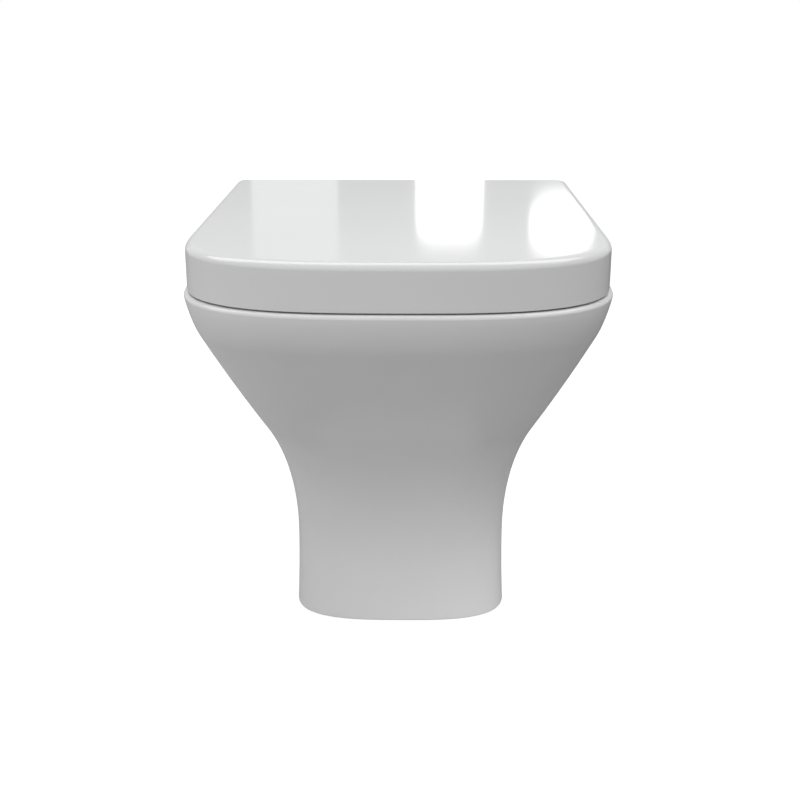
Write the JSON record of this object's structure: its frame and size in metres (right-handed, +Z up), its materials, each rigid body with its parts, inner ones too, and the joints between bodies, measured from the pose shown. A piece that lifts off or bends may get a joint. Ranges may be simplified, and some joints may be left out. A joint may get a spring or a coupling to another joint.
{
  "type": "back to wall toilet",
  "caption": "Back to wall toilet with a tapered skirted ceramic pan and a wrap-over soft close lid, whose seat and lid hinge at the back and lift off with release buttons.",
  "frame": {"origin": "middle of the footprint on the floor", "axes": "+Z up, the front of the bowl faces -Y, and the flat back meets the wall at +Y"},
  "size_m": [0.365, 0.53, 0.438],
  "materials": {
    "ceramic": "white glaze, glossy",
    "seat_plastic": "white moulded plastic, glossy",
    "chrome": "polished",
    "steel": "plain stainless steel",
    "nylon": "natural nylon, matt",
    "rubber": "grey rubber, matt"
  },
  "bodies": {
    "pan_body": {"pan": "ceramic", "inlet_seal": "rubber", "bracket_left": "nylon", "bracket_right": "nylon", "side_screws": "steel", "side_sleeves": "nylon", "cover_caps": "seat_plastic", "fixing_studs": "steel", "fixing_bushes": "nylon", "fixing_washers": "nylon", "fixing_nuts": "nylon", "hinge_gaskets": "rubber", "hinge_base_left": "chrome", "hinge_base_right": "chrome", "hinge_block_left": "chrome", "hinge_block_right": "chrome", "hinge_pin_left": "steel", "hinge_pin_right": "steel"},
    "seat_body": {"seat_ring": "seat_plastic", "seat_buffers": "rubber", "seat_damper": "steel", "seat_bush": "nylon"},
    "lid_body": {"lid": "seat_plastic", "lid_buffers": "rubber", "lid_damper": "steel", "lid_bush": "nylon"},
    "button_left_body": {"release_button_left": "seat_plastic"},
    "button_right_body": {"release_button_right": "seat_plastic"}
  },
  "joints": [
    {"name": "lid_hinge", "type": "hinge", "parent": "pan_body", "child": "lid_body", "pos_m": [0, 0.1548, 0.418], "axis": [-1, 0, 0], "range_deg": [0, 100]},
    {"name": "seat_hinge", "type": "hinge", "parent": "pan_body", "child": "seat_body", "pos_m": [0, 0.1548, 0.418], "axis": [-1, 0, 0], "range_deg": [0, 95]},
    {"name": "release_button_left_slide", "type": "slide", "parent": "pan_body", "child": "button_left_body", "axis": [0, -1, 0], "range_m": [0, 0.0025], "stiffness_N_per_m": 800},
    {"name": "release_button_right_slide", "type": "slide", "parent": "pan_body", "child": "button_right_body", "axis": [0, -1, 0], "range_m": [0, 0.0025], "stiffness_N_per_m": 800}
  ],
  "couplings": [
    {"joint": "seat_hinge", "follows": "lid_hinge", "ratio": 0.95}
  ]
}
